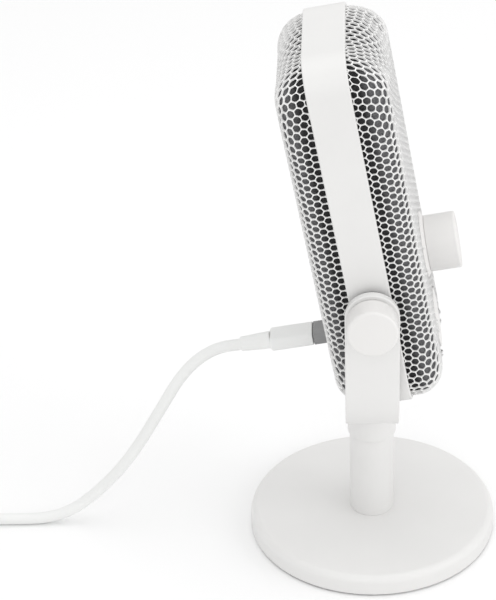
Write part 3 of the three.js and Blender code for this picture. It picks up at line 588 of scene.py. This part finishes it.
def build_yoke():
    """The strap is drawn flat as [along, across], wrapped round its two bends and thickened inwards."""
    screw_hole, pivot_hole = 5.1, 4.7  # radii
    half = STRAP_WIDTH / 2
    cells = 12
    columns = [half * (2 * k / cells - 1) for k in range(cells + 1)]
    flat_floor = SPAN - BEND
    bend_length = BEND * math.pi / 2
    arm_foot = flat_floor + bend_length
    pivot = arm_foot + PIVOT_HEIGHT - UNDERSIDE - BEND
    arm_end = pivot - 16

    points, faces = [], []

    def append(more_points, more_faces):
        offset = len(points)
        points.extend(more_points)
        faces.extend([tuple(i + offset for i in face) for face in more_faces])

    # floor round the screw
    floor = [(flat_floor, y) for y in columns]
    floor += [(x * flat_floor / 6, half) for x in range(5, -6, -1)]
    floor += [(-flat_floor, y) for y in reversed(columns)]
    floor += [(x * flat_floor / 6, -half) for x in range(-5, 6)]
    append(*patch(floor, (0, 0), screw_hole))
    stations = [flat_floor + bend_length * k / 20 for k in range(21)]
    stations += [arm_foot + (arm_end - arm_foot) * k / 4 for k in range(1, 5)]
    for side in (1, -1):
        rows = [[(side * s, y) for y in columns] for s in stations]
        for low, high in zip(rows, rows[1:]):
            append(low + high, [(k, k + 1, cells + k + 2, cells + k + 1) for k in range(cells)])
        end = [(arm_end, y) for y in columns]
        end += [(arm_end + (pivot - arm_end) * k / 5, half) for k in range(1, 5)]
        end += [(pivot + half * math.sin(math.radians(a)), half * math.cos(math.radians(a)))
                for a in range(0, 181, 6)]
        end += [(arm_end + (pivot - arm_end) * k / 5, -half) for k in range(4, 0, -1)]
        append(*patch([(side * s, y) for s, y in end], (side * pivot, 0), pivot_hole))

    def wrap(along, across):
        side, s = (1 if along >= 0 else -1), abs(along)
        if s <= flat_floor:
            return (along, across, UNDERSIDE)
        if s <= arm_foot:
            a = (s - flat_floor) / BEND
            out, up = BEND * math.sin(a), BEND * (1 - math.cos(a))
            return (side * (flat_floor + out), across, UNDERSIDE + up)
        return (side * SPAN, across, UNDERSIDE + BEND + s - arm_foot)

    yoke = piece("yoke_strap", [wrap(*p) for p in points], faces, None, "white_paint", nodes=("yoke",))
    outward = yoke.data.polygons[0].normal.z < 0
    yoke.modifiers.clear()
    wall = yoke.modifiers.new("wall", "SOLIDIFY")
    wall.thickness = STRAP * MM
    wall.offset = -1 if outward else 1
    wall.use_even_offset = True
    edge = yoke.modifiers.new("edge", "BEVEL")
    edge.width = 0.55 * MM
    edge.segments = 3
    edge.limit_method = "ANGLE"
    edge.angle_limit = math.radians(50)
    weighted = yoke.modifiers.new("normals", "WEIGHTED_NORMAL")
    weighted.keep_sharp = True
    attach(yoke, "stand")


def build_pivots():
    for side, name in ((-1, "left"), (1, "right")):
        place = HEAD @ Matrix.Rotation(side * math.pi / 2, 4, "Y")
        turned(f"{name}_tilt_knob", [(0, 44), (2.8, 44), (2.8, 40.5), (9.2, 40.5, 0.15), (10.2, 41.8, 0.3),
                                     (10.2, 51.4, 1.5), (8.2, 51.4), (0, 51.5)],
               f"{name}_knob_body", "white_plastic", place, (f"{name}_knob",), 128, 6)
        turned(f"{name}_tilt_washer", [(3.1, 34.3), (9.5, 34.3, 0.2), (9.5, 36.4, 0.2), (3.1, 36.4)],
               "head", "dark_rubber", place, (f"{name}_friction_washer",), 72)


# ---------------------------------------------------------------- head
def outline_ring(inset, depth, steps=16):
    """The head's outline at a depth towards the back, inset from its outer face."""
    middle, half = (TOP + BOTTOM) / 2, (TOP - BOTTOM) / 2
    ring = rect_ring(HALF_WIDTH - inset, half - inset, CORNER - inset, steps)
    return [(x, depth, middle + z) for x, z in ring]


def build_band():
    half = BAND_WIDTH / 2
    section = eased([(0, -half, 0.55), (0, half, 0.55), (BAND_WALL, half, 0.25), (BAND_WALL, -half, 0.25)], 4)
    points, faces = loft([outline_ring(inset, depth) for inset, depth in section], looped=True)
    piece("band_hoop", points, faces, "head", "white_paint", HEAD, ("band_frame",))


# the perforated sheets, in front (-1) and behind (1)
PITCH = 3.1
HOLE_SHARE = 0.87
HOLE_CORNER, HOLE_CORNER_IN = 10, 0.965  # degrees each side of a hole's corner, and how far it's cut back
SPARE = 16  # how far the flat sheet reaches past the head's outline
SHEET_WALL = 0.75
POLAR = 32.3  # how far in from the sides the sheet starts to turn round its corners
SIDE_ROUND = 7.0
SIDE_DRAWN, END_DRAWN = 1.06, 1.22  # how much longer the sheet gets where it's drawn over its edges
TOP_ROUND = {-1: 18.0, 1: 16.0}
BOTTOM_ROUND = 13.0
DEPTH = {-1: 22.9, 1: 21.4}
BAND_EDGE = BAND_WIDTH / 2
GATHER, GATHER_START, GATHER_SPAN = 0.12, 10, 16  # how the sheet is squeezed towards its corners
GATHER_FROM, GATHER_WIDTH = 0.34, 0.6  # the part of the way round a corner that it's drawn to
TUCK = 4  # how far the sheet may turn in past the band's edge
CELL_TUCK, CELL_MARGIN = 2.2, 1.2  # how far whole cells reach past the band's edge and into a cut-out
FOAM_INSET, FOAM_CELL, FOAM_MARGIN = 1.3, 1.6, 1.0
CUTS = {-1: [("round", 0, DIAL_HEIGHT, 13.3), ("round", 0, BUTTON_HEIGHT, 12.9)],
        1: [("square", 0, PORT_HEIGHT, PORT_HALF_WIDTH + GAP, PORT_HALF_HEIGHT + GAP)]}


def corner_point(share, size, corner):
    """A point at a share of the way round a rounded corner from [size, 0] to [0, size], and its facing."""
    straight, arc = size - corner, corner * math.pi / 2
    length = share * (2 * straight + arc)
    if length <= straight:
        return Vector((size, length)), Vector((1, 0))
    if length >= straight + arc:
        return Vector((2 * straight + arc - length, size)), Vector((0, 1))
    angle = (length - straight) / corner
    facing = Vector((math.cos(angle), math.sin(angle)))
    return Vector((straight, straight)) + corner * facing, facing


def drape(side, inset, a, b):
    """Where a point of the flat sheet [across, up] lies once the sheet is drawn over the head.

    Returns the point, with its depth past the band's edge in its fourth place. Round each corner the sheet
    is gathered, more so near the band."""
    low, high = BOTTOM + GRILLE_STEP + POLAR, TOP - GRILLE_STEP - POLAR
    wide = HALF_WIDTH - GRILLE_STEP - POLAR
    qx, qz = min(max(a, -wide), wide), min(max(b, low), high)
    away = Vector((a - qx, b - qz))
    face = DEPTH[side] - inset
    d = away.length
    if d < 1e-9:
        return (a, side * face, b, face - BAND_EDGE)
    signs = Vector((math.copysign(1, away.x), math.copysign(1, away.y)))
    share = math.atan2(abs(away.y), abs(away.x)) / (math.pi / 2)
    drawn_to = ease((share - GATHER_FROM) / GATHER_WIDTH)
    share += GATHER * ease((d - GATHER_START) / GATHER_SPAN) * (share - drawn_to)
    polar = POLAR - inset
    rim, facing = corner_point(share, polar, max(CORNER - GRILLE_STEP - inset, 0.5))
    ends = TOP_ROUND[side] if signs.y > 0 else BOTTOM_ROUND
    bend = SIDE_ROUND * facing.x ** 2 + ends * facing.y ** 2 - inset
    flat = polar - bend
    if d <= flat:
        out, drop = d, 0
    else:
        stop = min(math.pi / 2, math.acos(max(1 - (face - BAND_EDGE + TUCK) / bend, -1)))
        past = (SIDE_DRAWN * facing.x ** 2 + END_DRAWN * facing.y ** 2) * (d - flat)
        turn = min(past / bend, stop)
        out = flat + bend * math.sin(turn)
        drop = bend * (1 - math.cos(turn)) + (past - bend * turn)
    out /= polar
    depth = face - drop
    return (qx + signs.x * rim.x * out, side * depth, qz + signs.y * rim.y * out, depth - BAND_EDGE)


def sheet_cells(inside):
    """Webs of the flat sheet: each cell is a hexagon with a rounded hexagonal hole."""
    column = PITCH * math.sqrt(3) / 2
    columns = round((HALF_WIDTH + SPARE) / column)
    rows = round((TOP - BOTTOM + 2 * SPARE) / PITCH)
    points, index, faces = [], {}, []

    def point(x, y):
        key = (round(x * 50), round(y * 50))
        if key not in index:
            index[key] = len(points)
            points.append((x, y))
        return index[key]

    corner = PITCH / math.sqrt(3)
    hole = corner * HOLE_SHARE * HOLE_CORNER_IN
    for i in range(-columns, columns + 1):
        for j in range(rows + 1):
            a = i * column
            b = BOTTOM - SPARE + (j + (i % 2) / 2) * PITCH
            if not inside(a, b):
                continue
            outer = [point(a + x, b + z) for x, z in circle(corner, 6)]
            inner = []
            for k in range(6):
                for turn in (-HOLE_CORNER, HOLE_CORNER):
                    t = math.radians(60 * k + turn)
                    inner.append(len(points))
                    points.append((a + hole * math.cos(t), b + hole * math.sin(t)))
            for k in range(6):
                n = (k + 1) % 6
                faces.append((outer[k], outer[n], inner[2 * n], inner[2 * k + 1]))
                faces.append((outer[k], inner[2 * k + 1], inner[2 * k]))
    return points, faces


def push_out(points, cuts):
    """Moves points that lie inside a round or rectangular cut-out onto its edge."""
    moved = []
    for x, z in points:
        for kind, cx, cz, *size in cuts:
            away = Vector((x - cx, z - cz))
            if kind == "round" and away.length < size[0]:
                away = away.normalized() * size[0]
                x, z = cx + away.x, cz + away.y
            elif kind == "square" and abs(away.x) < size[0] and abs(away.y) < size[1]:
                if size[0] - abs(away.x) < size[1] - abs(away.y):
                    x = cx + math.copysign(size[0], away.x)
                else:
                    z = cz + math.copysign(size[1], away.y)
        moved.append((x, z))
    return moved


def in_cut(side, x, z, margin):
    for kind, cx, cz, *size in CUTS[side]:
        if kind == "round" and math.hypot(x - cx, z - cz) < size[0] - margin:
            return True
        if kind == "square" and abs(x - cx) < size[0] - margin and abs(z - cz) < size[1] - margin:
            return True
    return False


def fitted(name, points, faces, side, edge, slot, node, thickness, welded=False, gone=None):
    """A sheet over the head: cut off beside the band, facing outwards and thickened inwards."""
    mesh = bpy.data.meshes.new(name)
    mesh.from_pydata(points, [], faces)
    work = bmesh.new()
    work.from_mesh(mesh)
    if welded:
        bmesh.ops.dissolve_degenerate(work, dist=0.02, edges=work.edges)
    bmesh.ops.bisect_plane(work, geom=[*work.verts, *work.edges, *work.faces], dist=1e-4,
                           plane_co=(0, side * edge, 0), plane_no=(0, -side, 0), clear_outer=True)
    if gone:
        unwanted = [f for f in work.faces if gone(f.calc_center_median())]
        bmesh.ops.delete(work, geom=unwanted, context="FACES")
    bmesh.ops.recalc_face_normals(work, faces=work.faces)
    outer = Vector((0, side * DEPTH[side], 60))
    middle = min(work.faces, key=lambda f: (f.calc_center_median() - outer).length)
    if middle.normal.y * side < 0:
        bmesh.ops.reverse_faces(work, faces=work.faces)
    work.to_mesh(mesh)
    work.free()
    mesh.transform(Matrix.Scale(MM, 4) @ HEAD)
    made = dressed(name, mesh, None, slot, (node,))
    made.modifiers.clear()
    wall = made.modifiers.new("wall", "SOLIDIFY")
    wall.thickness = thickness * MM
    wall.offset = -1
    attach(made, "head")
    return made


def build_grille(side, name, node):
    def inside(a, b):
        return drape(side, 0, a, b)[3] > -CELL_TUCK and not in_cut(side, a, b, CELL_MARGIN)

    flat, faces = sheet_cells(inside)
    points = [drape(side, 0, a, b)[:3] for a, b in push_out(flat, CUTS[side])]
    made = fitted(name, points, faces, side, BAND_EDGE - 0.25, "white_grille", node, SHEET_WALL, welded=True)
    sharp = made.modifiers.new("edges", "EDGE_SPLIT")
    sharp.split_angle = math.radians(50)


def build_foam(side, name, node):
    """Open foam just behind the sheet, cut away behind the controls and the ports."""
    def gone(centre):
        return in_cut(side, centre.x, centre.z, FOAM_MARGIN) and abs(centre.y) > DEPTH[side] - 2

    def stations(low, high):
        count = round((high - low) / FOAM_CELL)
        return [low + (high - low) * k / count for k in range(count + 1)]

    across = stations(-HALF_WIDTH - 11, HALF_WIDTH + 11)
    upward = stations(BOTTOM - 9, TOP + 9)
    width = len(across)
    points = [drape(side, FOAM_INSET, a, b)[:3] for b in upward for a in across]
    faces = [(i, i + 1, i + width + 1, i + width) for r in range(len(upward) - 1)
             for i in range(r * width, r * width + width - 1)]
    fitted(name, points, faces, side, BAND_EDGE + 0.05, "dark_foam", node, LINER_WALL, gone=gone)


# ---------------------------------------------------------------- controls and ports
def build_controls():
    dial = on_head(0, DIAL_HEIGHT)
    turned("dial_flange", [(4, -24.42), (11.4, -24.42, 0.2), (13.6, -23.1, 0.4), (13.9, -22.9), (13, -22.9),
                           (13, -20.5), (4, -20.5)],
           "head", "white_plastic", dial, ("dial_bezel",), 128)
    turned("dial_grip", [(0, -36.1), (9.75, -36.1), (9.85, -37.2, 0.25), (11.6, -37.2, 1.0),
                         (11.6, -24.5, 0.2), (3.3, -24.5), (3.3, -33.6), (0, -33.6)],
           "gain_dial", "white_plastic", dial, ("dial_cap",), 128, 6)
    turned("dial_disc", [(0, -37.15), (9.4, -37.0, 0.3), (9.55, -36.2), (0, -36.2)],
           "gain_dial", "white_plastic", dial, ("dial_face",))
    button = on_head(0, BUTTON_HEIGHT)
    turned("mute_disc", [(0, -22.85), (8, -22.9), (11.6, -23.1, 0.8), (12.3, -22.95, 0.3),
                         (12.3, -20.95, 0.2), (0, -20.95)],
           "mute_button", "white_plastic", button, ("mute_cap",), 96, 5)
    turned("mute_ring", [(12.65, -22.0), (13.75, -22.0, 0.2), (13.75, -19.5), (12.65, -19.5)],
           "head", "dark_rubber", button, ("button_surround",))
    # painted shade: a black disc behind the button's ring gap, so that the gap reads as a dark shadowed line
    turned("button_shade_liner", [(3.5, -19.9), (12.6, -19.9), (12.6, -19.4), (3.5, -19.4)],
           "head", "black_plastic", button, (), 64)


def flat_curve(name, outlines, thickness, edge):
    """A plate with holes: a filled 2-D curve, pushed out and with eased edges, as a mesh in millimetres."""
    curve = bpy.data.curves.new(name, "CURVE")
    curve.dimensions = "2D"
    curve.fill_mode = "BOTH"
    curve.extrude = thickness / 2 - edge
    curve.bevel_depth = edge
    curve.bevel_resolution = 2
    curve.offset = -edge
    for outline in outlines:
        spline = curve.splines.new("POLY")
        spline.points.add(len(outline) - 1)
        for point, (x, y) in zip(spline.points, outline):
            point.co = (x, y, 0, 1)
        spline.use_cyclic_u = True
    source = bpy.data.objects.new(name, curve)
    mesh = bpy.data.meshes.new_from_object(source)
    bpy.data.objects.remove(source)
    return mesh


def build_ports():
    wall, edge = 1.4, 0.2
    face = DEPTH[1] + 0.5
    rim = [(x, z + PORT_HEIGHT) for x, z in rect_ring(PORT_HALF_WIDTH, PORT_HALF_HEIGHT, 2.5, 8)]
    usb = [(x, z + PLUG_HEIGHT) for x, z in rect_ring(4.75, 1.9, 1.8, 8)]
    jack = [(x, z + JACK_HEIGHT) for x, z in circle(2.2, 40)]
    mesh = flat_curve("port_cover", [rim, usb[::-1], jack[::-1]], wall, edge)
    flip = Matrix(((1, 0, 0, 0), (0, 0, 1, face - wall / 2), (0, 1, 0, 0), (0, 0, 0, 1)))
    mesh.transform(Matrix.Scale(MM, 4) @ HEAD @ flip)
    mesh.flip_normals()
    dressed("port_cover", mesh, "head", "white_plastic", ("port_plate",), 40)
    turned("jack_socket", [(1.75, 10.6), (3.4, 10.6), (3.4, 20.4, 0.2), (1.75, 20.4, 0.2)],
           "head", "black_plastic", on_head(0, JACK_HEIGHT), ("headphone_jack",), 48)
    turned("jack_collar", [(1.8, 20.6), (2.15, 20.6), (2.15, 21.8, 0.1), (1.8, 21.8, 0.1)],
           "head", "steel", on_head(0, JACK_HEIGHT), (), 48)


def build_inside():
    """The CAD nodes that stay take the material of their slot."""
    slots = {row["node"]: row["material_slot"] for row in frame["record"]["subparts"]}
    for node, made in frame["nodes"].items():
        if made.material_slots:
            made.material_slots[0].material = BY_SLOT[slots[node]]
        else:
            made.data.materials.append(BY_SLOT[slots[node]])


build_stand()
build_yoke()
build_pivots()
build_band()
build_grille(-1, "front_mesh", "front_grille")
build_grille(1, "rear_mesh", "rear_grille")
build_foam(-1, "front_foam", "front_liner")
build_foam(1, "rear_foam", "rear_liner")
build_controls()
build_ports()
build_inside()


# ---------------------------------------------------------------- studio
FLOOR_REACH = 6
WORLD_STRENGTH = 0.83


def build_studio():
    mesh = bpy.data.meshes.new("floor")
    mesh.from_pydata([(FLOOR_REACH * x, FLOOR_REACH * y, 0) for x, y in ((-1, -1), (1, -1), (1, 1), (-1, 1))],
                     [], [(0, 1, 2, 3)])
    floor = bpy.data.objects.new("floor", mesh)
    bpy.context.scene.collection.objects.link(floor)
    pale = bpy.data.materials.new("floor_pale")
    pale.use_nodes = True
    shader = pale.node_tree.nodes["Principled BSDF"]
    shader.inputs["Base Color"].default_value = (0.94, 0.94, 0.94, 1)
    shader.inputs["Roughness"].default_value = 0.9
    mesh.materials.append(pale)

    world = bpy.data.worlds.new("studio")
    world.use_nodes = True
    background = world.node_tree.nodes["Background"]
    background.inputs["Color"].default_value = (1, 1, 1, 1)
    background.inputs["Strength"].default_value = WORLD_STRENGTH
    bpy.context.scene.world = world

    def softbox(name, place, target, size, power):
        light = bpy.data.lights.new(name, "AREA")
        light.shape = "SQUARE"
        light.size = size
        light.energy = power
        made = bpy.data.objects.new(name, light)
        made.location = place
        made.rotation_euler = (Vector(target) - Vector(place)).to_track_quat("-Z", "Y").to_euler()
        bpy.context.scene.collection.objects.link(made)

    softbox("overhead", (0.05, -0.05, 1.5), (0, 0.03, 0.05), 1.3, 5)
    softbox("camera_side", (-1.4, 0.1, 1.0), (0, 0, 0.12), 1.0, 3)
    softbox("front_side", (-0.5, -1.3, 0.8), (0, 0, 0.1), 1.0, 4)
    bpy.context.scene.view_settings.view_transform = "Standard"


build_studio()
